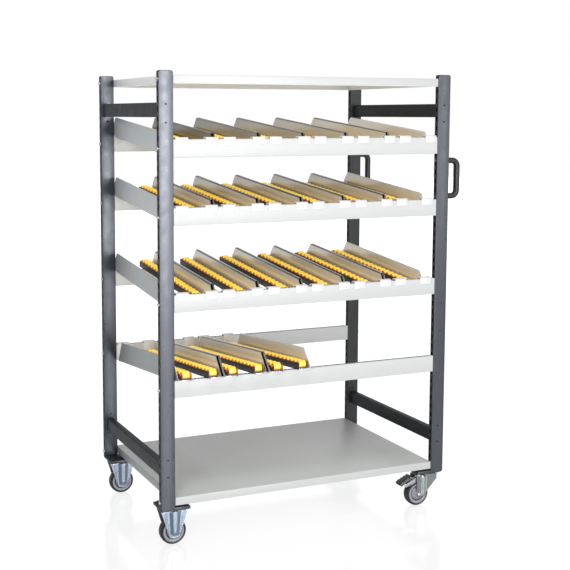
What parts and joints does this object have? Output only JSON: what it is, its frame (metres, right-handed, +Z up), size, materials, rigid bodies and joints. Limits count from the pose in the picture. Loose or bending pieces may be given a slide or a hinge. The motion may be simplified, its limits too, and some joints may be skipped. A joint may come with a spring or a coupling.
{
  "type": "flow rack trolley",
  "caption": "Mobile flow rack: slotted uprights on braked casters carry shelves and sloping roller lanes parted by guides, with bow handles at one end.",
  "frame": {"origin": "centre of the overall size in plan, on the floor", "axes": "+X towards the handle end, +Y from the picking side to the rear, +Z up"},
  "size_m": [1.2595, 0.7732, 1.72],
  "materials": {
    "anthracite_paint": "satin powder coat",
    "dark_rail_paint": "satin powder coat",
    "light_grey_paint": "satin powder coat",
    "galvanised_guide": "galvanised sheet",
    "black_plastic": "fine grain",
    "bright_zinc": "zinc plated",
    "grey_rubber": "matt"
  },
  "bodies": {
    "rack": {"upright_front_left": "anthracite_paint", "upright_front_right": "anthracite_paint", "upright_rear_left": "anthracite_paint", "upright_rear_right": "anthracite_paint", "side_rail_low_left": "dark_rail_paint", "side_rail_high_left": "dark_rail_paint", "side_rail_low_right": "dark_rail_paint", "side_rail_high_right": "dark_rail_paint", "shelf_bottom": "light_grey_paint", "shelf_top": "light_grey_paint", "level_1_beam_front": "light_grey_paint", "level_1_beam_rear": "light_grey_paint", "level_1_track_left_end": "galvanised_guide", "level_1_track_pair_1": "galvanised_guide", "level_1_track_pair_2": "galvanised_guide", "level_1_track_pair_3": "galvanised_guide", "level_1_track_pair_4": "galvanised_guide", "level_1_track_pair_5": "galvanised_guide", "level_1_track_right_end": "galvanised_guide", "level_2_beam_front": "light_grey_paint", "level_2_beam_rear": "light_grey_paint", "level_2_track_left_end": "galvanised_guide", "level_2_track_pair_1": "galvanised_guide", "level_2_track_pair_2": "galvanised_guide", "level_2_track_pair_3": "galvanised_guide", "level_2_track_pair_4": "galvanised_guide", "level_2_track_pair_5": "galvanised_guide", "level_2_track_right_end": "galvanised_guide", "level_3_beam_front": "light_grey_paint", "level_3_beam_rear": "light_grey_paint", "level_3_track_left_end": "galvanised_guide", "level_3_track_pair_1": "galvanised_guide", "level_3_track_pair_2": "galvanised_guide", "level_3_track_pair_3": "galvanised_guide", "level_3_track_pair_4": "galvanised_guide", "level_3_track_pair_5": "galvanised_guide", "level_3_track_right_end": "galvanised_guide", "level_4_beam_front": "light_grey_paint", "level_4_beam_rear": "light_grey_paint", "level_4_track_left_end": "galvanised_guide", "level_4_track_pair_1": "galvanised_guide", "level_4_track_pair_2": "galvanised_guide", "level_4_track_right_end": "galvanised_guide", "handle_front": "black_plastic", "handle_rear": "black_plastic", "fixed_fork_front": "bright_zinc", "swivel_head_front": "bright_zinc", "fixed_fork_rear": "bright_zinc", "swivel_head_rear": "bright_zinc"},
    "fixed_wheel_front": {"fixed_wheel_front": "grey_rubber"},
    "swivel_front": {"swivel_fork_front": "bright_zinc"},
    "swivel_wheel_front": {"swivel_wheel_front": "grey_rubber"},
    "brake_pedal_front": {"brake_pedal_front": "black_plastic"},
    "fixed_wheel_rear": {"fixed_wheel_rear": "grey_rubber"},
    "swivel_rear": {"swivel_fork_rear": "bright_zinc"},
    "swivel_wheel_rear": {"swivel_wheel_rear": "grey_rubber"},
    "brake_pedal_rear": {"brake_pedal_rear": "black_plastic"}
  },
  "joints": [
    {"name": "fixed_wheel_front_spin", "type": "hinge", "parent": "rack", "child": "fixed_wheel_front", "pos_m": [-0.56425, -0.31, 0.05], "axis": [0, 1, 0], "continuous": true},
    {"name": "swivel_front_turn", "type": "hinge", "parent": "rack", "child": "swivel_front", "pos_m": [0.51575, -0.31, 0.12], "axis": [0, 0, 1], "continuous": true},
    {"name": "swivel_wheel_front_spin", "type": "hinge", "parent": "swivel_front", "child": "swivel_wheel_front", "pos_m": [0.48175, -0.31, 0.05], "axis": [0, 1, 0], "continuous": true},
    {"name": "brake_pedal_front_press", "type": "hinge", "parent": "swivel_front", "child": "brake_pedal_front", "pos_m": [0.47575, -0.31, 0.1092], "axis": [0, 1, 0], "range_deg": [-8, 0]},
    {"name": "fixed_wheel_rear_spin", "type": "hinge", "parent": "rack", "child": "fixed_wheel_rear", "pos_m": [-0.56425, 0.31, 0.05], "axis": [0, 1, 0], "continuous": true},
    {"name": "swivel_rear_turn", "type": "hinge", "parent": "rack", "child": "swivel_rear", "pos_m": [0.51575, 0.31, 0.12], "axis": [0, 0, 1], "continuous": true},
    {"name": "swivel_wheel_rear_spin", "type": "hinge", "parent": "swivel_rear", "child": "swivel_wheel_rear", "pos_m": [0.48175, 0.31, 0.05], "axis": [0, 1, 0], "continuous": true},
    {"name": "brake_pedal_rear_press", "type": "hinge", "parent": "swivel_rear", "child": "brake_pedal_rear", "pos_m": [0.47575, 0.31, 0.1092], "axis": [0, 1, 0], "range_deg": [-8, 0]}
  ]
}
